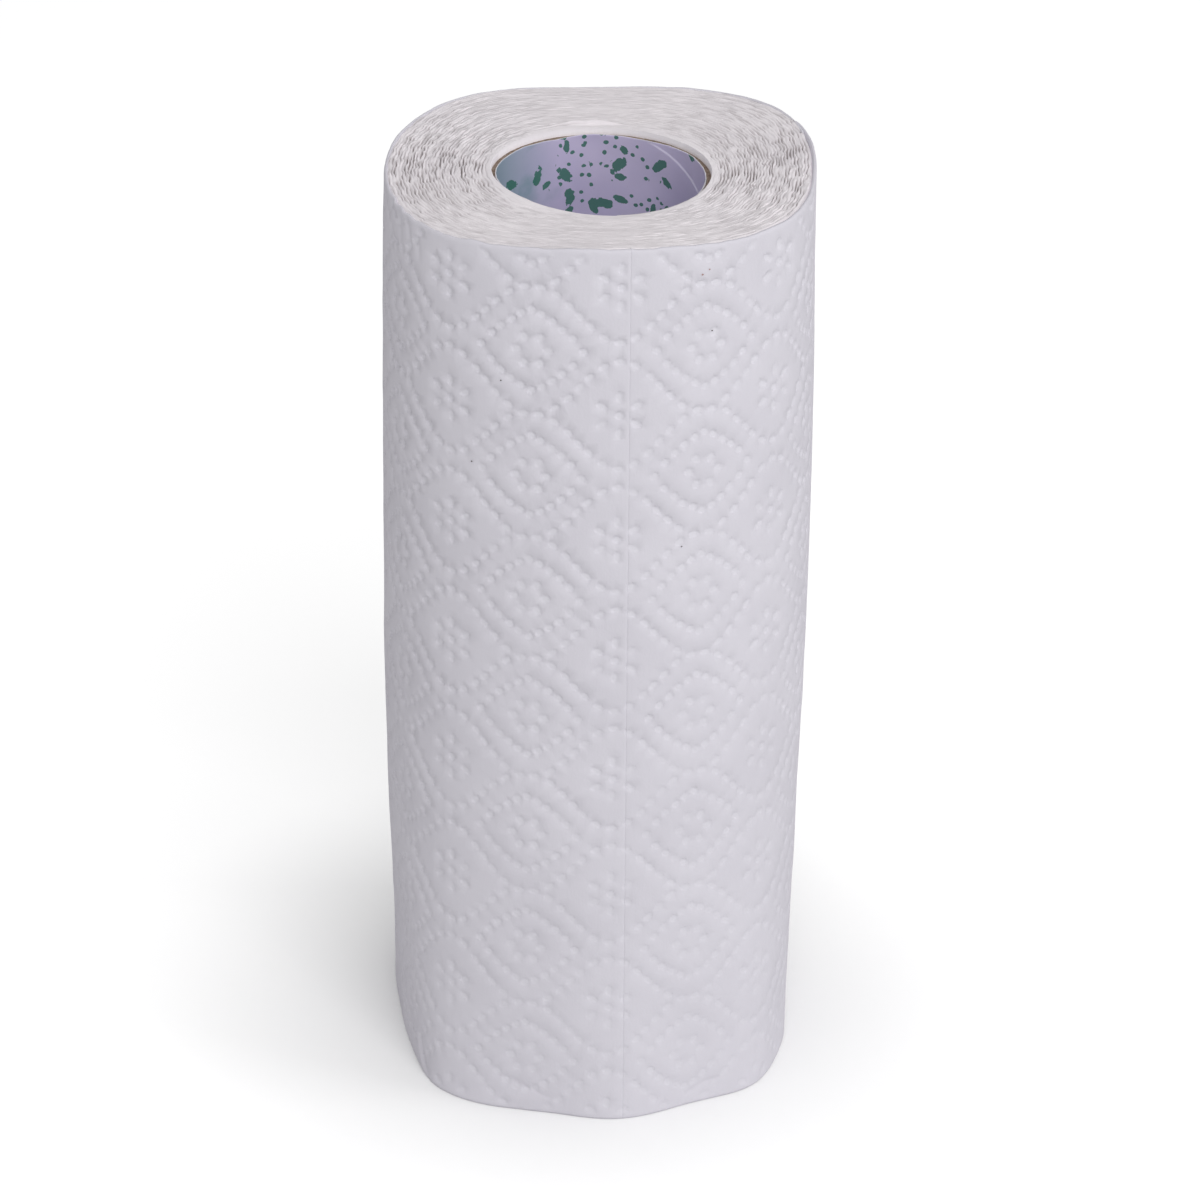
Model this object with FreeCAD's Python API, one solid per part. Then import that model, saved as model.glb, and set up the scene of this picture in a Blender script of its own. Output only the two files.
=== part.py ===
import FreeCAD, Part
import math
import os

# A roll of embossed paper towels, standing on its flat end.
# Millimetres, +Z up. The origin is the middle of the base, and the side that faces
# a viewer is towards -Y. Angles run from that side round towards +X.

# Roll of paper
roll_height = 220.0
roll_diameter = 100.0            # mean diameter of the squeezed, rounded-square outline
barrel_swell = 0.6               # how much further the outline stands out at mid height
rim_width = 0.8                  # soft edge of the outermost turns, at both ends
turn_thickness = 0.8             # one turn of two-ply paper, wound loosely
sheet_end_turn = 120.0           # angle where the outermost sheet's free edge lies

# Board core and its printed lining
core_outer_diameter = 49.4
core_wall = 1.6
lining_thickness = 0.25
end_recess = 1.0                 # from the roll's end down to the core's end
core_shift = 3.5                 # towards the front, where the squeezed paper is thinner

# Squeezed outline: how far its lobes stand out, and the angle that they point at
top_corner_swell = 2.1           # four corners, 45 degrees from the direction given
top_corner_turn = 2.6
top_oval_swell = 0.95            # two lobes
top_oval_turn = -50.0
top_skew_swell = 0.4             # three lobes
top_skew_turn = 7.0
foot_corner_swell = 2.15
foot_corner_turn = 4.9
foot_oval_swell = 1.9
foot_oval_turn = 18.0
foot_skew_swell = 0.85
foot_skew_turn = -13.5

# Buckled facets low on the front, on both sides of the row of perforations
buckle_swell = 1.8
buckle_turn = 9.0
buckle_lobes = 7
buckle_spread = 40.0             # angle over which the facets fade out to the sides
buckle_rise = 8                  # the larger, the lower on the roll they stay

# Turns that show at the ends, as one spiral groove between groups of them
top_turns_per_groove = 3
top_groove_width = 0.6
top_groove_depth = 1.2
foot_turns_per_groove = 8
foot_groove_width = 0.6
foot_groove_depth = 0.8
inner_land = 1.4                 # whole paper between the core and where the groove starts
outer_land = 1.9                 # and between where it ends and the outside

# Fineness: arcs in one turn, and spans up the wall, which are shorter near the foot
arcs_per_turn = 16
groove_arcs_per_turn = 12
wall_spans = 6
wall_span_growth = 1.6

mean_radius = roll_diameter / 2
core_radius = core_outer_diameter / 2
lining_radius = core_radius - core_wall
core_axis = FreeCAD.Vector(0, -core_shift, 0)


def lobes(angle, count, swell, turn):
    """Height of even lobes at an angle in radians, the first of them pointing at turn."""
    return swell * math.cos(count * (angle - math.radians(turn)))


def outline_radius(angle, height):
    """Distance from the origin's axis to the outermost turns."""
    share = height / roll_height
    top = (lobes(angle, 2, top_oval_swell, top_oval_turn)
           + lobes(angle, 3, top_skew_swell, top_skew_turn)
           - lobes(angle, 4, top_corner_swell, top_corner_turn))
    foot = (lobes(angle, 2, foot_oval_swell, foot_oval_turn)
            + lobes(angle, 3, foot_skew_swell, foot_skew_turn)
            - lobes(angle, 4, foot_corner_swell, foot_corner_turn))
    swell = barrel_swell * 4 * share * (1 - share)
    aside = math.remainder(angle - math.radians(buckle_turn), 2 * math.pi)
    fade = math.exp(-(aside / math.radians(buckle_spread)) ** 2) * (1 - share) ** buckle_rise
    buckle = lobes(angle, buckle_lobes, buckle_swell, buckle_turn) * fade
    return mean_radius + swell + top * share ** 2 + foot * (1 - share) ** 2 + buckle


def place(radius, angle, height):
    """Point at a distance from the origin's axis, an angle from the front and a height."""
    return FreeCAD.Vector(radius * math.sin(angle), -radius * math.cos(angle), height)


def arc_chain(points):
    """Arcs through points taken three at a time, each starting where the last one ended."""
    return [Part.Arc(*points[i:i + 3]).toShape() for i in range(0, len(points) - 2, 2)]


def line(start, end):
    """Straight edge."""
    return Part.LineSegment(start, end).toShape()


def outline_wire(height, inset):
    """Outline of the last turn at one height, from below its free edge all the way round.

    The turn climbs by its own thickness, and its free edge is the step that closes it."""
    points = []
    for step in range(2 * arcs_per_turn + 1):
        turned = step / (2 * arcs_per_turn)
        angle = math.radians(sheet_end_turn) + 2 * math.pi * (turned - 1)
        climb = turn_thickness * (turned - 0.5)
        points.append(place(outline_radius(angle, height) + climb - inset, angle, height))
    return Part.Wire(arc_chain(points) + [line(points[-1], points[0])])


def tube(outer_radius, inner_radius, low, high):
    """Round tube on the core's axis between two heights."""
    base = core_axis + FreeCAD.Vector(0, 0, low)
    outer = Part.makeCylinder(outer_radius, high - low, base)
    inner = Part.makeCylinder(inner_radius, high - low, base)
    return outer.cut(inner)


def turn_groove(end, bottom, width, pitch):
    """V-shaped spiral groove between turns, as a solid, from the core side outwards.

    It is round like the core at its start, and takes the squeezed outline's shape as
    it nears the outside. end is the height of its mouth and bottom that of its foot."""
    room = mean_radius - core_radius
    arcs = round(groove_arcs_per_turn * (room - inner_land - outer_land) / pitch)

    def spiral(offset, height):
        points = []
        for step in range(2 * arcs + 1):
            turned = step / (2 * groove_arcs_per_turn)
            angle = 2 * math.pi * turned
            share = (inner_land + pitch * turned + offset) / room
            inside = core_axis + place(core_radius, angle, height)
            outside = place(outline_radius(angle, end), angle, height)
            points.append(inside + (outside - inside) * share)
        return points

    left = spiral(-width / 2, end)
    right = spiral(width / 2, end)
    deep = spiral(0, bottom)
    mouth = arc_chain(right) + [line(right[-1], left[-1])] + arc_chain(left[::-1])
    faces = [Part.Face(Part.Wire([line(left[0], right[0])] + mouth))]
    for side in (left, right):
        for upper, lower in zip(arc_chain(side), arc_chain(deep)):
            faces.append(Part.makeRuledSurface(upper, lower))
    for tip in (0, -1):
        faces.append(Part.Face(Part.makePolygon([left[tip], right[tip], deep[tip], left[tip]])))
    shell = Part.Shell(faces)
    shell.sewShape()
    return Part.Solid(shell)


def paper_roll():
    """Wound sheets as one solid: squeezed outline, round hole for the core."""
    wall_height = roll_height - 2 * rim_width
    sections = [outline_wire(0, rim_width)]
    for span in range(wall_spans + 1):
        share = (span / wall_spans) ** wall_span_growth
        sections.append(outline_wire(rim_width + wall_height * share, 0))
    sections.append(outline_wire(roll_height, rim_width))
    roll = Part.makeLoft(sections, True, True)
    roll = roll.cut(Part.makeCylinder(core_radius, roll_height, core_axis))
    top = turn_groove(roll_height, roll_height - top_groove_depth, top_groove_width,
                      top_turns_per_groove * turn_thickness)
    foot = turn_groove(0, foot_groove_depth, foot_groove_width,
                       foot_turns_per_groove * turn_thickness)
    return roll.cut([top, foot])


def core_tube():
    """Spiral-wound board tube that the paper is wound on."""
    return tube(core_radius, lining_radius, end_recess, roll_height - end_recess)


def core_lining():
    """Printed paper ply glued inside the board tube, flush with its ends."""
    return tube(lining_radius, lining_radius - lining_thickness,
                end_recess, roll_height - end_recess)


os.makedirs("parts", exist_ok=True)
paper_roll().exportStep("parts/paper_roll.step")
core_tube().exportStep("parts/core_tube.step")
core_lining().exportStep("parts/core_lining.step")
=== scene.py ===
import math

import bpy
import bmesh
import numpy as np
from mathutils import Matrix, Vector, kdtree
from mathutils.geometry import delaunay_2d_cdt


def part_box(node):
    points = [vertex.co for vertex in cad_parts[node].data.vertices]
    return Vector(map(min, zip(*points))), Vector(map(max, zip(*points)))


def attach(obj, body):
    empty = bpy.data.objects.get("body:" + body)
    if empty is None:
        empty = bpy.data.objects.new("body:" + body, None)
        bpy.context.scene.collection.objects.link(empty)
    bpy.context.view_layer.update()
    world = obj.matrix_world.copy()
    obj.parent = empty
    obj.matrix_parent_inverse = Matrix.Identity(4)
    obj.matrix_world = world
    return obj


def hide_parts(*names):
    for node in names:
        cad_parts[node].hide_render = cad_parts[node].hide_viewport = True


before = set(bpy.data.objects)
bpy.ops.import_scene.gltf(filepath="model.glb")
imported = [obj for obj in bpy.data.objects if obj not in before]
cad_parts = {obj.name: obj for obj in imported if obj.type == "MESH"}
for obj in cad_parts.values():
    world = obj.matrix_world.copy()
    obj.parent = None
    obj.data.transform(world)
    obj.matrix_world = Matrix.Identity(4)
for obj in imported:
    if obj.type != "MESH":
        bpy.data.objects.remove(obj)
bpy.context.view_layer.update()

# Board core
# A tube of grey-brown board: three plies wound spirally, glued, and cut to length with a
# round knife. The paper is wound on it, and it ends a little below the paper's edges.
MM = 0.001
tube_low, tube_high = (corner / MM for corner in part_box("core_tube"))
core_radius = (tube_high.x - tube_low.x) / 2
core_centre_y = (tube_high.y + tube_low.y) / 2
board_wall = 1.1
board_drop = 0.7                 # how far below the paper's inner edge its worn end lies
board_columns = 300
board_unevenness = 0.08
ply_joint_depth = 0.16
# Across the cut end, from outside to inside: share of the wall, and how low it lies there
board_end_profile = ((0.0, 0.14), (0.05, 0.0), (0.29, 0.0), (0.33, 1.0), (0.38, 0.0),
                     (0.62, 0.0), (0.66, 1.0), (0.71, 0.0), (0.95, 0.0), (1.0, 0.2))


def mesh_piece(name, points, faces):
    """Smooth mesh of the roll, from points in millimetres, that stays with the root body."""
    mesh = bpy.data.meshes.new(name)
    mesh.from_pydata((np.asarray(points) * MM).tolist(), [], np.asarray(faces).tolist())
    work = bmesh.new()
    work.from_mesh(mesh)
    bmesh.ops.remove_doubles(work, verts=work.verts, dist=0.002 * MM)
    bmesh.ops.dissolve_degenerate(work, edges=work.edges, dist=0.001 * MM)
    for face in work.faces:
        face.smooth = True
    work.to_mesh(mesh)
    work.free()
    piece = bpy.data.objects.new(name, mesh)
    bpy.context.scene.collection.objects.link(piece)
    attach(piece, "root")
    return piece


def closed_grid(columns, rows):
    """Quads of a grid that closes both ways. Its points are stored column by column."""
    column, row = np.meshgrid(np.arange(columns), np.arange(rows), indexing="ij")
    next_column = (column + 1) % columns
    next_row = (row + 1) % rows
    return np.stack([column * rows + row, next_column * rows + row,
                     next_column * rows + next_row, column * rows + next_row],
                    -1).reshape(-1, 4)


def around(radius, angle, height, centre_y=0.0):
    """Points at a distance from an upright axis, at an angle from the front."""
    radius, angle, height = np.broadcast_arrays(radius, angle, height)
    return np.stack([radius * np.sin(angle), centre_y - radius * np.cos(angle), height], -1)


def patches(x, y, size, seed):
    """Smooth random values between -1 and 1 over a plane, with features of a given size."""
    table = np.random.default_rng(seed).uniform(-1, 1, (256, 256))
    u = np.asarray(x, float) / size
    v = np.asarray(y, float) / size
    column = np.floor(u).astype(int)
    row = np.floor(v).astype(int)
    across = u - column
    along = v - row
    across = across * across * (3 - 2 * across)
    along = along * along * (3 - 2 * along)
    low = (table[column % 256, row % 256] * (1 - across)
           + table[(column + 1) % 256, row % 256] * across)
    high = (table[column % 256, (row + 1) % 256] * (1 - across)
            + table[(column + 1) % 256, (row + 1) % 256] * across)
    return low * (1 - along) + high * along


def finish_nodes(name, roughness, specular):
    """New material, its nodes and links, and its shader with two values set."""
    material = bpy.data.materials.new(name)
    material.use_nodes = True
    nodes = material.node_tree.nodes
    shader = nodes["Principled BSDF"]
    shader.inputs["Roughness"].default_value = roughness
    shader.inputs["Specular IOR Level"].default_value = specular
    return material, nodes, material.node_tree.links, shader


def grain(nodes, links, stretch, scale):
    """Noise over the object's own coordinates, squeezed by a factor on each axis."""
    place = nodes.new("ShaderNodeTexCoord")
    squeeze = nodes.new("ShaderNodeMapping")
    squeeze.inputs["Scale"].default_value = stretch
    noise = nodes.new("ShaderNodeTexNoise")
    noise.inputs["Scale"].default_value = scale
    noise.inputs["Detail"].default_value = 4.0
    links.new(place.outputs["Object"], squeeze.inputs["Vector"])
    links.new(squeeze.outputs["Vector"], noise.inputs["Vector"])
    return noise.outputs["Fac"]


def ramp(nodes, links, factor, *stops):
    """Colours along a factor, each stop a place and a colour."""
    node = nodes.new("ShaderNodeValToRGB")
    elements = node.color_ramp.elements
    while len(elements) < len(stops):
        elements.new(0.5)
    for element, (position, colour) in zip(elements, stops):
        element.position = position
        element.color = (*colour, 1.0)
    links.new(factor, node.inputs["Fac"])
    return node.outputs["Color"]


def bump(nodes, links, shader, height, strength, distance):
    """Fine relief on a shader, over any relief that it has already."""
    node = nodes.new("ShaderNodeBump")
    node.inputs["Strength"].default_value = strength
    node.inputs["Distance"].default_value = distance
    links.new(height, node.inputs["Height"])
    if shader.inputs["Normal"].is_linked:
        links.new(shader.inputs["Normal"].links[0].from_socket, node.inputs["Normal"])
    links.new(node.outputs["Normal"], shader.inputs["Normal"])


def board_finish():
    """Recycled board: short fibres that lie round the tube, and darker flecks."""
    material, nodes, links, shader = finish_nodes("grey_brown_board", 0.95, 0.15)
    fibres = grain(nodes, links, (1.0, 1.0, 3.0), 900.0)
    links.new(ramp(nodes, links, fibres, (0.3, (0.16, 0.115, 0.09)), (0.5, (0.27, 0.205, 0.165)),
                   (0.7, (0.36, 0.29, 0.24))), shader.inputs["Base Color"])
    bump(nodes, links, shader, fibres, 0.5, 0.0001)
    return material


def board_tube():
    """The core, as one closed ring of walls and cut ends."""
    angle = np.linspace(0, 2 * math.pi, board_columns, endpoint=False)[:, None]
    share, joint = np.array(board_end_profile).T
    radius = core_radius - board_wall * share
    rough = board_unevenness * patches(angle * core_radius, radius * 2, 1.7, 11)
    low = tube_low.z + ply_joint_depth * joint + np.abs(rough)
    high = tube_high.z - board_drop - ply_joint_depth * joint - np.abs(rough)
    rings = [around(radius, angle, high), around(radius[::-1], angle, low[:, ::-1])]
    points = np.concatenate(rings, 1) + (0, core_centre_y, 0)
    faces = closed_grid(board_columns, 2 * len(share))
    tube = mesh_piece("board_tube", points.reshape(-1, 3), faces)
    tube.data.materials.append(board_finish())
    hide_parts("core_tube")


board_tube()

# Lining
# The core's innermost ply: a strip of lavender printed paper, wound and glued so that each
# turn laps the last along a helix. Its cut white edge stands a little proud of the board.
lining_radius = core_radius - board_wall - 0.25
lining_thickness = 0.22
lap_width = 5.0                  # how far one turn covers the last
lap_fade = 2.0                   # and how soon its step dies out past that
lap_step = 0.2
lap_pitch = 59.4                 # rise of the seam in one turn
lap_angle = math.radians(136.5)  # where the seam is at the height that follows
lap_height = 216.2
seam_rows = (0.3, 0.02, -0.16, -0.45)
bare_from, bare_to = -0.25, 0.1  # strip of bare paper along the seam
lining_proud = -0.4              # cut edge against the tube's full length, on average
lining_rise, lining_rise_turn, lining_rise_spread = 1.1, -48.0, 42.0
lining_waviness = 0.28
lining_spacing = 3.0             # between points of its net
# Leaves, blades and seeds of the print: spacing, half length, half width, share, shift
print_marks = ((9.5, 2.7, 1.35, 0.55, 0.0), (7.0, 1.9, 0.9, 0.35, 31.0),
               (2.4, 0.62, 0.55, 0.6, 17.0))
print_scatter = 0.55
print_reach, print_raggedness = 1.9, 2.4
ink_green, ink_strength = (0.02, 0.17, 0.11), 0.88
# Green-blue wash: thin printed ink in clouds, and painted shade at the tube's left
wash_and_shade_green, wash_and_shade_strength = (0.15, 0.31, 0.33), 0.85
bare_grey, bare_strength = (0.72, 0.72, 0.78), 0.3


def swell_near(angle, direction, spread):
    """Share of a soft swelling that is full in one direction, in degrees from the front."""
    aside = (angle - math.radians(direction) + math.pi) % (2 * math.pi) - math.pi
    return np.exp(-(aside / math.radians(spread)) ** 2)


def point_tree(points):
    """Search tree over points. Those of two coordinates have a third one of zero."""
    tree = kdtree.KDTree(len(points))
    for number, point in enumerate(points):
        tree.insert((*point, 0.0)[:3], number)
    tree.balance()
    return tree


def carry(piece, points, name, values):
    """Give each vertex of a piece the value that belongs to its point."""
    tree = point_tree(points)
    shade = piece.data.attributes.new(name, "FLOAT", "POINT")
    shade.data.foreach_set("value", [float(values[tree.find(vertex.co / MM)[1]])
                                     for vertex in piece.data.vertices])


def blend(nodes, links, amount, colour, tint):
    """Lay a plain tint over a colour, by an amount from 0 to 1."""
    layer = nodes.new("ShaderNodeMix")
    layer.data_type = "RGBA"
    layer.inputs["B"].default_value = (*tint, 1.0)
    links.new(amount, layer.inputs["Factor"])
    links.new(colour, layer.inputs["A"])
    return layer.outputs["Result"]


def carried(nodes, name):
    """What the vertices carry under a name."""
    value = nodes.new("ShaderNodeAttribute")
    value.attribute_name = name
    return value.outputs["Fac"]


def triangulate(points, edges):
    """Points and triangles of a plane net that keeps the given edges."""
    found = delaunay_2d_cdt([tuple(point) for point in points], edges, [], 0, 1e-5)
    return np.array([tuple(point) for point in found[0]]), np.array(found[2])


def seam_height(along):
    """Height of one turn of the seam, at a length round the lining."""
    slope = lap_pitch / (2 * math.pi * lining_radius)
    return lap_height + slope * (along - lap_angle * lining_radius)


def lining_relief(along, height):
    """How far the lapped paper stands in from the rest."""
    below = (seam_height(along) - height) % lap_pitch
    lapped = np.where((below > 0.06) & (below < lap_width + lap_fade), 1.0, 0.0)
    return lap_step * lapped * np.clip((lap_width + lap_fade - below) / lap_fade, 0, 1)


def lining_net():
    """Net of the lining in its unrolled plane, with both sides of each seam as edges."""
    length = 2 * math.pi * lining_radius
    along = np.linspace(0, length, round(length / lining_spacing) + 1)
    points, edges = [], []
    for turn in range(-5, 2):
        for offset in seam_rows:
            seam = seam_height(along) + turn * lap_pitch + offset
            inside = np.flatnonzero((seam > tube_low.z + 0.5) & (seam < tube_high.z - 0.02))
            first = len(points)
            points += [(along[k], seam[k]) for k in inside]
            edges += [(first + k, first + k + 1) for k in range(len(inside) - 1)]
    seams = np.array(points)
    rows = np.concatenate([np.arange(tube_low.z, tube_high.z - 1.0, lining_spacing),
                           [tube_high.z - 0.8, tube_high.z - 0.3, tube_high.z]])
    for column, place in enumerate(along):
        for row, height in enumerate(rows):
            shift = lining_spacing / 2 if column % 2 and 0 < row < len(rows) - 4 else 0
            near = np.min(np.hypot(seams[:, 0] - place, seams[:, 1] - height - shift))
            if near > 1.0 or row >= len(rows) - 3:
                points.append((place, height + shift))
    return triangulate(points, edges)


def calculate(nodes, links, operation, first, second=None):
    """One step of arithmetic on node outputs or numbers."""
    step = nodes.new("ShaderNodeMath")
    step.operation = operation
    for socket, value in zip(step.inputs, (first, second)):
        if isinstance(value, (int, float)):
            socket.default_value = value
        elif value is not None:
            links.new(value, socket)
    return step.outputs["Value"]


def product(nodes, links, first, second):
    """Two node outputs or numbers, multiplied."""
    return calculate(nodes, links, "MULTIPLY", first, second)


def vector_step(nodes, links, operation, first, second, output="Vector"):
    """One step of vector arithmetic on node outputs or fixed vectors."""
    step = nodes.new("ShaderNodeVectorMath")
    step.operation = operation
    for socket, value in zip(step.inputs, (first, second)):
        if isinstance(value, tuple):
            socket.default_value = value
        else:
            links.new(value, socket)
    return step.outputs[output]


def printed_marks(nodes, links, spacing, half_length, half_width, share, shift):
    """Where ink lies: one oval in some cells of a loose net, each turned its own way.

    The ovals are drawn in the paper's own surface, by the direction round the tube and up."""
    place = nodes.new("ShaderNodeTexCoord").outputs["Object"]
    from_axis = vector_step(nodes, links, "SUBTRACT", place, (0.0, core_centre_y * MM, 0.0))
    cells = nodes.new("ShaderNodeTexVoronoi")
    cells.inputs["Scale"].default_value = 1 / (spacing * MM)
    cells.inputs["Randomness"].default_value = print_scatter
    moved = vector_step(nodes, links, "ADD", from_axis, (shift * MM, 0.0, shift * MM))
    links.new(moved, cells.inputs["Vector"])
    local = vector_step(nodes, links, "SUBTRACT", moved, cells.outputs["Position"])
    flat = vector_step(nodes, links, "MULTIPLY", from_axis, (1.0, 1.0, 0.0))
    outward = vector_step(nodes, links, "SCALE", flat, (0.0, 0.0, 0.0))
    outward.node.inputs["Scale"].default_value = 1 / (lining_radius * MM)
    sideways = vector_step(nodes, links, "CROSS_PRODUCT", (0.0, 0.0, 1.0), outward)
    along = vector_step(nodes, links, "DOT_PRODUCT", local, sideways, "Value")
    up = vector_step(nodes, links, "DOT_PRODUCT", local, (0.0, 0.0, 1.0), "Value")
    pick = nodes.new("ShaderNodeSeparateColor")
    links.new(cells.outputs["Color"], pick.inputs["Color"])
    turn = product(nodes, links, pick.outputs["Red"], math.pi)
    cosine = calculate(nodes, links, "COSINE", turn)
    sine = calculate(nodes, links, "SINE", turn)
    forward = calculate(nodes, links, "ADD", product(nodes, links, along, cosine),
                        product(nodes, links, up, sine))
    across = calculate(nodes, links, "SUBTRACT", product(nodes, links, up, cosine),
                       product(nodes, links, along, sine))
    shares = [calculate(nodes, links, "DIVIDE", forward, half_length * MM),
              calculate(nodes, links, "DIVIDE", across, half_width * MM)]
    reach = calculate(nodes, links, "ADD",
                      *[calculate(nodes, links, "POWER", part, 2.0) for part in shares])
    ragged = product(nodes, links, grain(nodes, links, (1, 1, 1), 700.0), print_raggedness)
    inside = calculate(nodes, links, "LESS_THAN",
                       calculate(nodes, links, "ADD", reach, ragged), print_reach)
    chosen = calculate(nodes, links, "LESS_THAN", pick.outputs["Green"], share)
    return product(nodes, links, inside, chosen)


def lining_finish():
    """Smooth paper printed with loose green sprigs and seeds, worn thin by the winder."""
    material, nodes, links, shader = finish_nodes("lavender_lining_paper", 0.6, 0.3)
    colour = ramp(nodes, links, grain(nodes, links, (1, 1, 1), 60.0),
                  (0.35, (0.60, 0.54, 0.76)), (0.65, (0.68, 0.61, 0.82)))
    gathered = calculate(nodes, links, "GREATER_THAN", grain(nodes, links, (1, 1, 0.8), 55.0), 0.5)
    leaves, blades, seeds = (printed_marks(nodes, links, *row) for row in print_marks)
    seeds = product(nodes, links, gathered, seeds)
    ink = calculate(nodes, links, "MAXIMUM", calculate(nodes, links, "MAXIMUM", leaves, blades), seeds)
    # Thin ink in soft clouds, and painted shade, as one green-blue wash that is thickest at the tube's left
    cloud = calculate(nodes, links, "MULTIPLY_ADD", grain(nodes, links, (1, 1, 1), 65.0), 4.0)
    cloud.node.inputs[2].default_value = -2.1
    cloud.node.use_clamp = True
    place = nodes.new("ShaderNodeTexCoord").outputs["Object"]
    leftward = vector_step(nodes, links, "DOT_PRODUCT", place,
                           (-1 / (lining_radius * MM), 0.0, 0.0), "Value")
    wash_and_shade = calculate(nodes, links, "ADD", cloud, product(nodes, links, leftward, 1.5))
    wash_and_shade = calculate(nodes, links, "SUBTRACT", wash_and_shade, 0.62)
    wash_and_shade.node.use_clamp = True
    for amount, strength, tint in ((wash_and_shade, wash_and_shade_strength, wash_and_shade_green), (ink, ink_strength, ink_green),
                                   (carried(nodes, "bare"), bare_strength, bare_grey)):
        colour = blend(nodes, links, product(nodes, links, amount, strength), colour, tint)
    links.new(colour, shader.inputs["Base Color"])
    bump(nodes, links, shader, grain(nodes, links, (1, 1, 1), 700.0), 0.25, 0.0001)
    return material


def cut_edge_finish():
    """White inside of the lining paper, bare where it was cut and torn."""
    material, nodes, links, shader = finish_nodes("white_cut_edge", 0.9, 0.1)
    links.new(ramp(nodes, links, grain(nodes, links, (1, 1, 1), 500.0),
                   (0.3, (0.66, 0.64, 0.68)), (0.7, (0.82, 0.80, 0.84))), shader.inputs["Base Color"])
    bump(nodes, links, shader, grain(nodes, links, (1, 1, 1), 1500.0), 0.4, 0.0001)
    return material


def lining():
    """The lining with its lapped seam and its uneven cut edge."""
    net, faces = lining_net()
    angle = net[:, 0] / lining_radius
    near_edge = np.clip((net[:, 1] - tube_high.z + 3) / 3, 0, 1)
    turned = around(lining_radius, angle, 0.0)
    wave = lining_proud + lining_rise * swell_near(angle, lining_rise_turn, lining_rise_spread)
    wave = wave + lining_waviness * (patches(turned[:, 0], turned[:, 1], 5.0, 21)
                                     + 0.6 * patches(turned[:, 0], turned[:, 1], 1.8, 22))
    radius = lining_radius - lining_relief(net[:, 0], net[:, 1])
    points = around(radius, angle, net[:, 1] + near_edge * wave, core_centre_y)
    piece = mesh_piece("printed_lining", points, faces[:, ::-1])
    above = (net[:, 1] - seam_height(net[:, 0]) + lap_pitch / 2) % lap_pitch - lap_pitch / 2
    carry(piece, points, "bare", ((above < bare_to) & (above > bare_from)).astype(float))
    piece.data.materials.append(lining_finish())
    piece.data.materials.append(cut_edge_finish())
    thick = piece.modifiers.new("thickness", "SOLIDIFY")
    thick.thickness = lining_thickness * MM
    thick.offset = -1.0
    thick.material_offset = 1
    thick.material_offset_rim = 1
    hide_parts("core_lining")


lining()

# Turns at the ends
# About thirty turns of two-ply paper, wound loosely on the core. Their cut edges stand a
# little higher and lower, ripple with the embossing, and open into short gaps.
roll_height = (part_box("paper_roll")[1] / MM).z
mean_radius = 50.0
barrel_swell = 0.6
turn_thickness = 0.8
sheet_end_turn = math.radians(120.0)
# Lobes of the squeezed outline: how many, how far they stand out, and where the first points
top_lobes = ((2, 0.95, -50.0), (3, 0.4, 7.0), (4, -2.1, 2.6))
foot_lobes = ((2, 1.9, 18.0), (3, 0.85, -13.5), (4, -2.15, 4.9))
buckle_lobes, buckle_swell, buckle_turn, buckle_spread, buckle_rise = 7, 1.8, 9.0, 40.0, 8
# Slight dents and bulges over the lobes: direction, spread, height, reach up and down, depth
dents = ((-121, 18, 220, 50, -1.7), (-80, 14, 218, 30, 0.5),
         (176, 24, 220, 50, -0.7), (134, 14, 220, 50, 0.5),
         (-84, 35, 150, 60, -0.3), (86, 40, 190, 40, -0.25), (84, 40, 62, 42, -0.5),
         (-78, 24, 26, 22, -0.7), (-43, 9, 0, 14, 0.8), (-60, 12, 5, 12, -0.4),
         (47, 9, 0, 12, 1.0), (62, 10, 8, 14, -0.5), (178, 20, 220, 40, -0.4))
ends_inset = 0.5                 # outermost turn edge, inside the outer sheet's rim
rim_dip = 1.1                    # and how far below that rim it stays
innermost_drop = 2.0             # the first turn's edge goes down to the board
# Paper that leans in over the board and stands up or sinks: direction, spread, lean, rise
inner_lean = ((-48, 42, 0.8, 0.6), (10, 55, 0.1, -0.6), (150, 30, 0.3, 0.0))
# One turn near the core that stands up at the back: direction, spread, place, rise
loose_turn, loose_spread, loose_place, loose_rise = -173.0, 15.0, 2.3, 1.1
least_loose = 0.26               # looseness at the front and the back, against 1 at the sides
tail_thinning = 0.5              # the last turn is one sheet thin where it ends
tail_length = 14.0
gap_length = 3.0
gap_depth = 1.6
# Painted shade in the gaps between turns, and along the tight turns at the front and the back
painted_gap_shade = (0.17, 0.12, 0.11)
# The wall's tissue in a lighter copy for the cut edges at both ends: painted light
painted_light_end_tissue = ((0.90, 0.855, 0.89), (0.96, 0.915, 0.945))
painted_edge_shade = 0.13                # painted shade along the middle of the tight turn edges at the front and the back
ripple_depth, ripple_length = 0.34, 1.7
fine_ripple_depth, fine_ripple_length = 0.10, 1.1
sinking, sinking_length = 0.22, 13.0    # groups of turns that lie higher and lower together


def lobes(angle, count, swell, turn):
    """Height of even lobes at an angle, the first of them pointing at turn."""
    return swell * np.cos(count * (angle - math.radians(turn)))


def outline_radius(angle, height):
    """Distance from the roll's axis to its outermost turns."""
    share = height / roll_height
    top = sum(lobes(angle, *row) for row in top_lobes)
    foot = sum(lobes(angle, *row) for row in foot_lobes)
    aside = (angle - math.radians(buckle_turn) + math.pi) % (2 * math.pi) - math.pi
    fade = np.exp(-(aside / math.radians(buckle_spread)) ** 2) * (1 - share) ** buckle_rise
    buckle = lobes(angle, buckle_lobes, buckle_swell, buckle_turn) * fade
    swell = barrel_swell * 4 * share * (1 - share)
    dent = sum(depth * swell_near(angle, direction, spread) * np.exp(-((height - level) / reach) ** 2)
               for direction, spread, level, reach, depth in dents)
    return mean_radius + swell + top * share ** 2 + foot * (1 - share) ** 2 + buckle + dent


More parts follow.
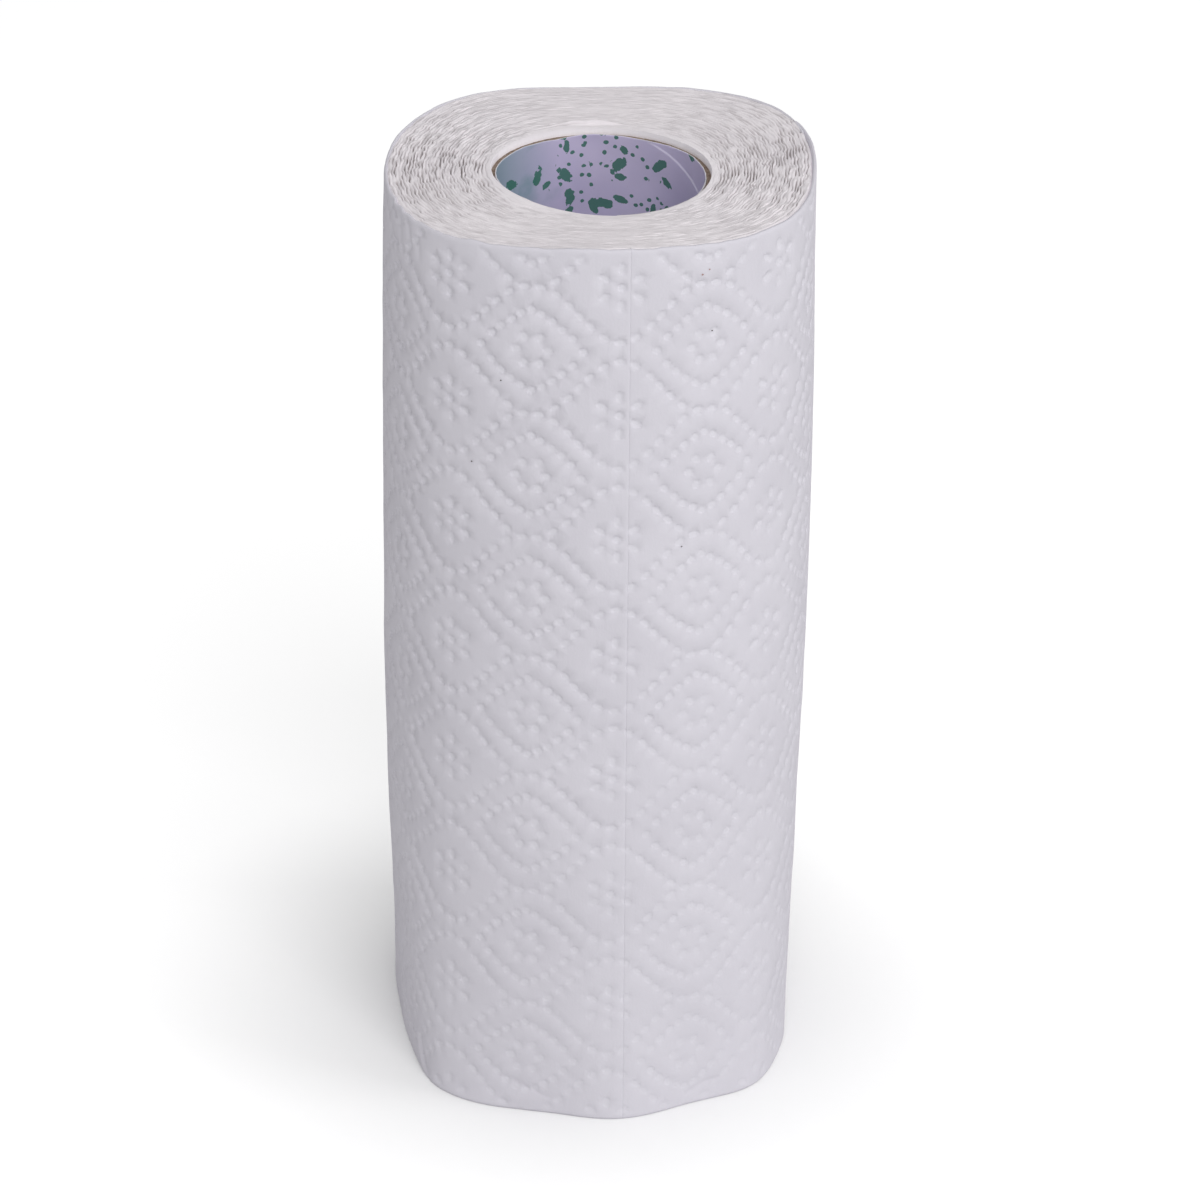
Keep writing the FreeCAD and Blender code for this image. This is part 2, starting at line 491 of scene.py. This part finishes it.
def tissue_finish(name, dark, light, value, tint):
    """Soft tissue with short fibres and fine crepe lines, with painted light and shade laid on by a value
    it carries.
    """
    material, nodes, links, shader = finish_nodes(name, 0.95, 0.1)
    cloud = ramp(nodes, links, grain(nodes, links, (1, 1, 1), 45.0), (0.3, dark), (0.7, light))
    cloud = blend(nodes, links, carried(nodes, value), cloud, tint)
    links.new(cloud, shader.inputs["Base Color"])
    bump(nodes, links, shader, grain(nodes, links, (1, 1, 1), 1800.0), 0.35, 0.0001)
    bump(nodes, links, shader, grain(nodes, links, (1, 1, 0.12), 900.0), 0.3, 0.0001)
    return material


def end_turns(name, end, upward, columns_per_turn, seed):
    """Spiral strip of paper edges over one end of the roll, from the core to the outside."""
    room = mean_radius - core_radius
    last = (room + turn_thickness / 2) / turn_thickness - 1
    columns = int((last + 1) * columns_per_turn)
    turn = last - (columns - 1 - np.arange(columns + columns_per_turn)) / columns_per_turn
    angle = sheet_end_turn + 2 * math.pi * (turn - last)
    inside = around(core_radius, angle, 0.0, core_centre_y)
    outside = around(outline_radius(angle, end) - ends_inset, angle, 0.0)
    across = outside - inside
    path = np.cumsum(2 * math.pi / columns_per_turn * (core_radius + turn * turn_thickness))
    loose = least_loose + (1 - least_loose) * np.abs(np.sin(angle)) ** 1.4
    middle = np.clip(np.minimum(turn * turn_thickness - 1.0, (last - turn) * turn_thickness) / 1.2, 0, 1)
    gap = middle * loose * np.clip(0.5 + 0.95 * patches(path, turn * 5, gap_length, seed)
                                   + 0.3 * patches(path, turn * 2, 9.0, seed + 6), 0.12, 1)
    thinned = np.clip(1 - (last - turn) * 2 * math.pi * mean_radius / tail_length, 0, 1)
    across = across * (1 - tail_thinning / room * thinned)[:, None]
    outward = across / np.linalg.norm(across, axis=1)[:, None]
    lean, rise, raised = 0.0, 0.0, 0.0
    if upward:
        for direction, spread, inward, upwards in inner_lean:
            lean = lean + swell_near(angle, direction, spread) * inward
            rise = rise + swell_near(angle, direction, spread) * upwards
        raised = loose_rise * swell_near(angle, loose_turn, loose_spread)
        raised = raised * (1 + 0.4 * patches(path, 0 * path, 3.0, seed + 7))
    # Four rows in each turn: the gap's bottom, and the paper's near side, middle and far side
    rows = []
    for row, place in enumerate((0.0 * gap, 0.17 + 0.15 * gap, 0.5 + 0.0 * gap, 0.83 - 0.15 * gap)):
        share = np.clip((turn + place) * turn_thickness / room, 0, None)
        point = inside + across * share[:, None]
        ripple = (ripple_depth * patches(point[:, 0], point[:, 1], ripple_length, seed + 1)
                  + fine_ripple_depth * patches(path, turn * 7, fine_ripple_length, seed + 2))
        ripple = ripple * (0.3 + 0.7 * loose)
        fade = np.clip(np.minimum(share, 1 - share) * room / 1.2, 0, 1)
        height = (sinking * patches(point[:, 0], point[:, 1], sinking_length, seed + 3)
                  + (0.05 + 0.08 * loose) * patches(path, turn * 3 + row * 40, 3.0, seed + 4)
                  + (0.04 + 0.10 * loose) * patches(path, turn * 3 + row * 40, 1.8, seed + 5))
        height = height * np.clip(share * room / 2, 0.1, 1)
        near_core = np.where(share > 0, np.clip(1 - share * room / 3, 0, 1), 0)
        height = height + rise * near_core
        height = height + raised * np.exp(-((share * room - loose_place) / 0.4) ** 2)
        point = point + outward * (ripple * fade - lean * near_core)[:, None]
        if row == 0:
            height = height - 0.08 - gap_depth * gap ** 1.3
        if row == 2:
            height = height - 0.1
        height = height - rim_dip * np.clip((share - 1) * room / 0.6 + 1, 0, 1)
        height = np.where(share <= 0, -innermost_drop, height)
        point[:, 2] = end + height if upward else np.maximum(end, end + 0.35 - height)
        rows.append(point)
    grid = np.stack([row[:columns] for row in rows], 1)
    points = np.concatenate([grid.reshape(-1, 3), rows[0][columns:]])
    packed = 1 - loose[:columns]
    # Painted shade that each vertex carries: deepest at the gaps' bottoms, less on their sides and along
    # tight turns
    shade = np.zeros(len(points))
    shade[:columns * 4:4] = 0.06 + 0.94 * gap[:columns]
    for row in (1, 3):
        shade[row:columns * 4:4] = 0.12 * gap[:columns] + 0.07 * packed
    shade[2:columns * 4:4] = painted_edge_shade * packed
    index = np.arange(columns * 4).reshape(columns, 4)
    first_row = np.concatenate([index[:, 0], columns * 4 + np.arange(columns_per_turn)])
    closing = first_row[np.arange(columns) + columns_per_turn]
    wide = np.concatenate([index, closing[:, None]], 1)
    faces = np.stack([wide[:-1, :-1], wide[:-1, 1:], wide[1:, 1:], wide[1:, :-1]],
                     -1).reshape(-1, 4)
    if not upward:
        faces = faces[:, ::-1]
    piece = mesh_piece(name, points, faces)
    carry(piece, points, "shade", shade)
    piece.data.materials.append(tissue_finish(name + "_paper", *painted_light_end_tissue, "shade", painted_gap_shade))
    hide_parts("paper_roll")


end_turns("top_turns", roll_height, True, 720, 31)
end_turns("foot_turns", 0.0, False, 360, 41)

# Outer sheets
# The last turn of the towel: two plies pressed together in rows of dots, by a steel roller
# with flowers, diamonds and waves. A row of slits parts the last two sheets at the front.
slit_top, slit_foot = 6.9, 8.75  # where the slits lie, round the wall from the front
motif_width, motif_height = 38.9, 30.14
motif_start = (5.0, 211.2)       # a flower of the even columns, round the wall and up
flower_petals = 6
large_flower_radius, small_flower_radius = 4.4, 3.5
diamond_half_width, diamond_half_height, diamond_side_dots, diamond_roundness = 11.4, 9.65, 5, 1.25
wave_dots = (0.0, 3.5, 6.7, 8.9, 11.3, 14.2, 17.7)
wave_half_length, wave_climb, wave_gap = 18.2, 12.7, 4.5
# Dots: half length and half width of each kind
middle_dot, petal_dot, small_petal_dot = (1.0, 1.0), (1.4, 0.85), (1.2, 1.0)
diamond_dot, diamond_dot_turn, wave_dot = (1.05, 0.95), 0.7, (1.25, 0.85)
dot_depth = 0.5
depth_up = ((20, 190), (0.5, 1))        # shallower towards the foot
depth_round = ((-40, 30), (1.1, 0.72))  # and towards the right
dot_rings = (0.4, 0.78, 1.0, 1.25)
dot_ring_points = 8
sheet_spacing = 2.1              # between points of its net, away from dots and edges
tail_tuck = 4.0                  # how far the sheet goes on under the free edge
# Cut edges that curl in over the ends: rows of the net, and their height and inset
fold_rows = (-1.3, -0.5, 0.0, 0.25, 0.7)
fold_heights = (0.9, 0.0, 0.03, 0.25, 0.7)
fold_insets = (1.0, 0.75, 0.35, 0.12, 0.0)
# Sides, at the slits and the free edge: columns of the net, and the inset past them
side_rows = (-1.0, -0.4, 0.0, 0.12, 0.5)
side_curl = ((-0.8, -0.3, 0.0, 0.4, 1.0), (0.0, 0.0, 0.07, 0.35, 0.45))
# Gathers of the rim at the left front: direction, spread, depth
gather_turn, gather_spread, gather_depth = -56.0, 14.0, 0.3
wall_tissue = ((0.695, 0.675, 0.735), (0.735, 0.715, 0.775))
# Painted highlight: the insides of the dots are laid lighter than the wall's tissue
painted_dot_highlight = (0.77, 0.755, 0.81)
# Creases: places round the wall and up, half width, depth
creases = ((((-47.5, 10.0), (-46.5, 5.6), (-43.5, 2.2), (-41.5, 0.5)), 0.8, 0.55),
           (((-49.5, 9.0), (-48.5, 4.6), (-45.5, 1.0)), 0.8, -0.35),
           (((-18.5, 9.3), (-14.0, 6.4), (-8.5, 4.0)), 0.8, 0.35),
           (((34.5, 6.2), (29.5, 5.4), (25.0, 3.0)), 0.8, 0.3),
           (((35.5, 19.0), (36.5, 11.0), (36.0, 6.0)), 1.3, 0.3),
           (((40.0, 10.0), (41.0, 3.0)), 1.2, 0.35), (((45.5, 15.0), (46.0, 7.0)), 1.4, 0.3),
           (((38.0, 218.0), (38.5, 206.0)), 1.0, 0.25), (((34.5, 216.5), (35.0, 205.0)), 0.9, 0.2),
           (((42.5, 217.0), (42.0, 208.0)), 1.0, 0.22), (((-44.0, 218.5), (-43.5, 211.0)), 0.8, 0.3),
           (((-48.0, 218.5), (-47.0, 212.0)), 0.8, 0.35), (((-52.5, 218.5), (-52.0, 211.5)), 0.8, 0.3))


def motif_dots():
    """Dots of one motif about its large flower: place, half length, half width, direction."""
    dots = [(0.0, 0.0, *middle_dot, 0.0)]
    for petal in range(flower_petals):
        turn = math.radians(90 + 60 * petal)
        dots.append((large_flower_radius * math.cos(turn), large_flower_radius * math.sin(turn),
                     *petal_dot, turn))
        turn = math.radians(60 * petal)
        dots.append((motif_width / 2 + small_flower_radius * math.cos(turn),
                     -motif_height / 2 + small_flower_radius * math.sin(turn), *small_petal_dot, turn))
    for step in range(diamond_side_dots + 1):
        share = step / diamond_side_dots
        across = diamond_half_width * share
        up = diamond_half_height * (1 - share ** diamond_roundness) ** (1 / diamond_roundness)
        for side in ((1,) if step == 0 else (1, -1)):
            for level in ((1,) if step == diamond_side_dots else (1, -1)):
                dots.append((motif_width / 2 + side * across, -motif_height / 2 + level * up,
                             *diamond_dot, -side * level * diamond_dot_turn))
    for level in (1, -1):
        for step, place in enumerate(wave_dots):
            if level == -1 and step == len(wave_dots) - 1:
                continue
            phase = math.pi * place / wave_half_length
            up = level * (wave_gap / 2 + wave_climb * (1 - math.cos(phase)) / 2)
            slope = level * wave_climb * math.pi / wave_half_length * math.sin(phase) / 2
            for side in ((1,) if step == 0 else (1, -1)):
                dots.append((side * place, up - motif_height / 2, *wave_dot, math.atan(side * slope)))
    return dots


def emboss(first, last):
    """All dots between two places round the wall, each with its own depth."""
    chance = np.random.default_rng(5)
    dots = []
    for column in range(-6, 5):
        for row in range(-1, 9):
            for across, up, half_length, half_width, turn in motif_dots():
                place = motif_start[0] + column * motif_width + across
                height = motif_start[1] - row * motif_height + up
                depth = dot_depth * chance.uniform(0.6, 1.15) * np.interp(height, *depth_up)
                depth = depth * np.interp(place, *depth_round)
                place += chance.uniform(-0.12, 0.12)
                height += chance.uniform(-0.12, 0.12)
                if first - 2 < place < last + 2 and -2 < height < roll_height + 2:
                    dots.append((place, height, half_length, half_width, turn, depth))
    return np.array(dots)


wall_heights = np.linspace(0, roll_height, 45)
wall_angles = np.radians(np.arange(-250, 131, 0.5))


def climb(angle):
    """How far the last turn has climbed over the mean outline at an angle."""
    return turn_thickness * ((angle - sheet_end_turn) / (2 * math.pi) + 0.5)


def wall_lengths():
    """Length round the wall from the front to each angle, for each height."""
    table = []
    for height in wall_heights:
        points = around(outline_radius(wall_angles, height) + climb(wall_angles), wall_angles, 0.0)
        steps = np.linalg.norm(np.diff(points, axis=0), axis=1)
        length = np.concatenate([[0], np.cumsum(steps)])
        table.append(length - np.interp(0.0, wall_angles, length))
    return np.array(table)


wall_table = wall_lengths()


def wall_angle(place, height):
    """Angle of a place that is measured round the wall, at its own height."""
    level = np.clip(height / roll_height, 0, 1) * (len(wall_heights) - 1)
    lower = np.clip(np.floor(level).astype(int), 0, len(wall_heights) - 2)
    angles = np.array([np.interp(place, row, wall_angles) for row in wall_table])
    pick = np.arange(len(place))
    share = level - lower
    return angles[lower, pick] * (1 - share) + angles[lower + 1, pick] * share


def both_ends(heights):
    """Heights that are given from the foot up, and the same from the top down."""
    return np.concatenate([heights, roll_height - np.array(heights[::-1])])


def fold(up):
    """Height and inset of a sheet near its cut edges, where it curls in over the ends."""
    stops = both_ends(fold_rows)
    insets = fold_insets + fold_insets[::-1]
    return np.interp(up, stops, both_ends(fold_heights)), np.interp(up, stops, insets)


def slit_place(height):
    """Where the row of slits lies round the wall."""
    return slit_foot + (slit_top - slit_foot) * height / roll_height


def crease_line(line, step):
    """Places along a crease, closer together than a step."""
    line = np.array(line)
    pieces = [start + (stop - start) * np.linspace(0, 1, 2 + int(np.hypot(*(stop - start)) / step))[:, None]
              for start, stop in zip(line[:-1], line[1:])]
    return np.concatenate(pieces)


def crease_relief(place, up):
    """How far the sheet lies in, along its creases."""
    relief = np.zeros(len(place))
    for line, half_width, depth in creases:
        ends = np.interp(up, (line[-1][1], line[0][1]), (0.0, 1.0))
        taper = np.clip(4 * ends * (1 - ends) + 0.25, 0, 1)
        away = np.min([np.hypot(place - x, up - y) for x, y in crease_line(line, 0.4)], 0)
        relief = relief + depth * taper * np.exp(-(away / half_width) ** 2)
    return relief


def dot_shape():
    """Points of a dot of unit size: its middle, and rings turned against each other."""
    turns = np.arange(dot_ring_points) * 2 * math.pi / dot_ring_points
    shapes = [np.zeros((1, 2))]
    for number, ring in enumerate(dot_rings):
        twist = turns + (number % 2) * math.pi / dot_ring_points
        shapes.append(ring * np.stack([np.cos(twist), np.sin(twist)], -1))
    return np.concatenate(shapes)


def sheet_net(left, right, dots, seed):
    """Net of a sheet laid flat from the row of slits, finer at dots, creases and edges."""
    chance = np.random.default_rng(seed)
    shape = dot_shape()
    fine = []
    for place, height, half_length, half_width, turn, depth in dots:
        spin = np.array([[math.cos(turn), math.sin(turn)], [-math.sin(turn), math.cos(turn)]])
        fine.append(shape * (half_length, half_width) @ spin + (place - slit_place(height), height))
    for line, half_width, depth in creases:
        for x, y in crease_line(line, 1.0):
            fine.append(np.array([(x - slit_place(y) + shift * half_width, y)
                                  for shift in (-2.0, -1.3, -0.65, 0.0, 0.65, 1.3, 2.0)]))
    fine = np.concatenate(fine)
    low, high = 1.6, roll_height - 1.6
    fine = fine[(fine[:, 0] > left + 0.45) & (fine[:, 0] < right - 0.45)
                & (fine[:, 1] > low) & (fine[:, 1] < high)]
    tree = point_tree(fine)
    columns = np.arange(left + 2, right - 1.9, sheet_spacing)
    rows = np.arange(low + 1, high - 0.9, sheet_spacing)
    plain = np.stack(np.meshgrid(columns, rows, indexing="ij"), -1).reshape(-1, 2)
    plain = plain + chance.uniform(-0.45, 0.45, plain.shape)
    plain = np.array([point for point in plain if tree.find((*point, 0))[2] > 0.9])
    rim = np.stack(np.meshgrid(np.arange(left + 1.4, right - 1.3, 1.1), both_ends(fold_rows + (1.3,)),
                               indexing="ij"), -1).reshape(-1, 2)
    edge_rows = np.sort(np.concatenate([both_ends(fold_rows + (1.5,)),
                                        np.arange(2.3, roll_height - 2.2, 0.65)]))
    sides = []
    for end, inward in ((left, 1), (right, -1)):
        for distance in side_rows:
            sides.append(np.stack([np.full(len(edge_rows), end + inward * distance), edge_rows], -1))
    return triangulate(np.concatenate([fine, plain, rim, *sides]), [])


def press(net, dots):
    """How far the roller pushes each point of a net in, and how firmly, up to 1, which sets the painted
    highlight in the dots.
    """
    relief, soft, dot_highlight_share = np.zeros((3, len(net)))
    tree = point_tree(np.stack([net[:, 0] + slit_place(net[:, 1]), net[:, 1]], -1))
    for place, height, half_length, half_width, turn, depth in dots:
        near = [(item[1], item[0].x - place, item[0].y - height)
                for item in tree.find_range((place, height, 0), 5.0)]
        if not near:
            continue
        number, across, along = (np.array(column) for column in zip(*near))
        number = number.astype(int)
        forward = across * math.cos(turn) + along * math.sin(turn)
        sideways = along * math.cos(turn) - across * math.sin(turn)
        reach = np.hypot(forward / half_length, sideways / half_width)
        bowl = np.clip((dot_rings[-1] - reach) / 0.48, 0, 1)
        bowl = bowl * bowl * (3 - 2 * bowl)
        firm = np.clip((1.1 - reach) / 0.4, 0, 1) * depth / dot_depth
        relief[number] = np.maximum(relief[number], depth * bowl)
        dot_highlight_share[number] = np.maximum(dot_highlight_share[number], firm)
        soft[number] = np.maximum(soft[number], np.exp(-(np.hypot(across, along) / 2.4) ** 2))
    near_rim = np.clip(np.minimum(net[:, 1], roll_height - net[:, 1]) / 2.0, 0, 1)
    return (relief + 0.05 * soft) * near_rim, np.clip(dot_highlight_share, 0, 1) * near_rim


def outer_sheet(name, left, right, seed):
    """One sheet of the wall. Its left and right ends are places from the row of slits."""
    dots = emboss(left + slit_top - 3, right + slit_foot + 3)
    net, faces = sheet_net(left, right, dots, seed)
    offset = net[:, 0]
    up, inset = fold(net[:, 1])
    place = np.clip(offset, left, right) + slit_place(up)
    relief, dot_highlight_share = press(net, dots)
    relief = relief + 0.16 * patches(place, up, 17.0, 61) + 0.05 * patches(place, up, 6.0, 62)
    relief = relief + crease_relief(place, up)
    angle = wall_angle(place, up)
    front = 0.3 + 0.7 * swell_near(angle, 0.0, 80.0)
    gathers = gather_depth * swell_near(angle, gather_turn, gather_spread)
    gathers = gathers * patches(place, 0 * up, 1.3, 65)
    rim_wave = (0.22 * patches(place, 0 * up, 4.0, 63) + 0.12 * patches(place, 0 * up, 1.7, 64)
                + gathers)
    rim_wave = np.exp(-(roll_height - up) / 1.6) * front * rim_wave
    relief = relief + np.exp(-(roll_height - up) / 2.5) * gathers
    past = np.maximum(left - offset, offset - right)
    radius = outline_radius(angle, up) + climb(angle) - inset - relief - np.interp(past, *side_curl)
    if right > 0:
        radius = radius - tail_thinning * np.clip(1 - (right - offset) / tail_length, 0, 1)
    points = around(radius, angle, np.maximum(up + rim_wave, 0.0))
    piece = mesh_piece(name, points, faces)
    # Painted highlight inside the dots, by how firmly each point was pressed
    carry(piece, points, "dot_highlight_share", dot_highlight_share)
    piece.data.materials.append(tissue_finish(name + "_paper", *wall_tissue, "dot_highlight_share", painted_dot_highlight))
    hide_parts("paper_roll")


first_place = float(np.interp(sheet_end_turn - 2 * math.pi, wall_angles, wall_table[22]))
last_place = float(np.interp(sheet_end_turn, wall_angles, wall_table[22]))
outer_sheet("outer_sheet", first_place - tail_tuck - slit_top, 0.0, 51)
outer_sheet("last_sheet", 0.0, last_place - slit_top, 52)

# Flecks
# Specks of bark and dyed fibre that went through the pulp and dried flat into the outer
# sheets, four of them dark and two red. Place round the wall and up, and size:
dark_flecks = ((25.4, 199.6, 0.22), (19.6, 148.2, 0.2), (-28.2, 167.1, 0.22), (-21.2, 188.2, 0.2))
red_flecks = ((22.8, 213.2, 0.26), (24.4, 214.2, 0.2))
fleck_stand = 0.12               # over the mean wall, to clear the tissue's own unevenness


def fleck_piece(name, flecks, dark, light):
    """Flat specks of one colour on the wall, fibrous and a little uneven."""
    turns = np.arange(6) * math.pi / 3
    points, faces = [], []
    for place, height, size in flecks:
        across = place + np.concatenate([[0], size * np.cos(turns)])
        up = height + np.concatenate([[0], 0.8 * size * np.sin(turns)])
        angle = wall_angle(across, up)
        first = len(points) * 7
        points.append(around(outline_radius(angle, up) + climb(angle) + fleck_stand, angle, up))
        faces += [(first, first + 1 + k, first + 1 + (k + 1) % 6) for k in range(6)]
    piece = mesh_piece(name, np.concatenate(points), faces)
    material, nodes, links, shader = finish_nodes(name + "_matter", 0.9, 0.1)
    fibres = grain(nodes, links, (1, 1, 0.4), 3000.0)
    links.new(ramp(nodes, links, fibres, (0.3, dark), (0.7, light)), shader.inputs["Base Color"])
    bump(nodes, links, shader, fibres, 0.3, 0.0001)
    piece.data.materials.append(material)
    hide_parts("paper_roll")


fleck_piece("dark_flecks", dark_flecks, (0.05, 0.04, 0.045), (0.10, 0.085, 0.09))
fleck_piece("red_flecks", red_flecks, (0.36, 0.21, 0.19), (0.48, 0.33, 0.31))

# Floor, light and camera
# A white studio sweep that keeps a faint soft shadow to the left and a painted shadow round the roll's
# foot, one broad light from the front and the right, a weak fill, and a long lens that looks down
# on the roll.
floor_half = 4.0                 # metres
floor_glow = 0.40
painted_shadow_reach, painted_shadow_power = 0.068, 2.4   # painted contact shadow: the glow fades this near to the roll


def studio_floor():
    """Plane under the roll, seen as white apart from the roll's shadow and a painted shadow round its foot.
    """
    mesh = bpy.data.meshes.new("studio_floor")
    mesh.from_pydata([(-floor_half, -floor_half, 0), (floor_half, -floor_half, 0),
                      (floor_half, floor_half, 0), (-floor_half, floor_half, 0)], [], [(0, 1, 2, 3)])
    floor = bpy.data.objects.new("studio_floor", mesh)
    bpy.context.scene.collection.objects.link(floor)
    material, nodes, links, shader = finish_nodes("white_sweep", 1.0, 0.0)
    shader.inputs["Base Color"].default_value = (0.88, 0.88, 0.88, 1.0)
    ray = nodes.new("ShaderNodeLightPath")
    seen = calculate(nodes, links, "MAXIMUM", ray.outputs["Is Camera Ray"],
                     ray.outputs["Is Glossy Ray"])
    # Painted shadow: the floor's white glow fades where the roll stands near it
    open_share = nodes.new("ShaderNodeAmbientOcclusion")
    open_share.inputs["Distance"].default_value = painted_shadow_reach
    faded = calculate(nodes, links, "POWER", open_share.outputs["AO"], painted_shadow_power)
    glow = nodes.new("ShaderNodeEmission")
    links.new(product(nodes, links, faded, floor_glow), glow.inputs["Strength"])
    faint = nodes.new("ShaderNodeBsdfDiffuse")
    faint.inputs["Color"].default_value = (0.91, 0.91, 0.91, 1.0)
    both = nodes.new("ShaderNodeAddShader")
    choose = nodes.new("ShaderNodeMixShader")
    links.new(glow.outputs["Emission"], both.inputs[0])
    links.new(faint.outputs["BSDF"], both.inputs[1])
    links.new(seen, choose.inputs["Fac"])
    links.new(shader.outputs["BSDF"], choose.inputs[1])
    links.new(both.outputs["Shader"], choose.inputs[2])
    links.new(choose.outputs["Shader"], nodes["Material Output"].inputs["Surface"])
    floor.data.materials.append(material)


def studio_world():
    """Even fill from all round, seen as white."""
    world = bpy.data.worlds.new("studio")
    bpy.context.scene.world = world
    world.use_nodes = True
    nodes = world.node_tree.nodes
    links = world.node_tree.links
    fill = nodes["Background"]
    fill.inputs["Color"].default_value = (1.0, 1.0, 1.0, 1.0)
    fill.inputs["Strength"].default_value = 0.43
    white = nodes.new("ShaderNodeBackground")
    white.inputs["Color"].default_value = (1.0, 1.0, 1.0, 1.0)
    ray = nodes.new("ShaderNodeLightPath")
    choose = nodes.new("ShaderNodeMixShader")
    links.new(ray.outputs["Is Camera Ray"], choose.inputs["Fac"])
    links.new(fill.outputs["Background"], choose.inputs[1])
    links.new(white.outputs["Background"], choose.inputs[2])
    links.new(choose.outputs["Shader"], nodes["World Output"].inputs["Surface"])


def soft_light(name, azimuth, elevation, distance, size, power):
    """Square lamp that faces the roll. Azimuth runs from the front towards the right."""
    lamp = bpy.data.lights.new(name, "AREA")
    lamp.shape = "SQUARE"
    lamp.size = size
    lamp.energy = power
    light = bpy.data.objects.new(name, lamp)
    bpy.context.scene.collection.objects.link(light)
    turn, rise = math.radians(azimuth), math.radians(elevation)
    light.location = (distance * math.sin(turn) * math.cos(rise),
                      -distance * math.cos(turn) * math.cos(rise),
                      distance * math.sin(rise) + roll_height * MM / 2)
    light.rotation_euler = (math.pi / 2 - rise, 0, turn)


def long_lens():
    """Camera of the photograph."""
    lens = bpy.data.cameras.new("camera")
    lens.lens = 156.8
    lens.sensor_width = 36.0
    lens.clip_start = 0.01
    camera = bpy.data.objects.new("camera", lens)
    bpy.context.scene.collection.objects.link(camera)
    camera.location = (0.00142, -1.07927, 0.67333)
    camera.rotation_mode = "ZYX"
    camera.rotation_euler = (math.radians(90 - 27.557), 0, math.radians(0.967))
    bpy.context.scene.camera = camera


studio_floor()
studio_world()
soft_light("front_light", 15, 46, 3.2, 1.9, 42.0)
soft_light("right_light", 76, 28, 3.2, 1.2, 17.0)
long_lens()
bpy.context.scene.view_settings.view_transform = "Standard"
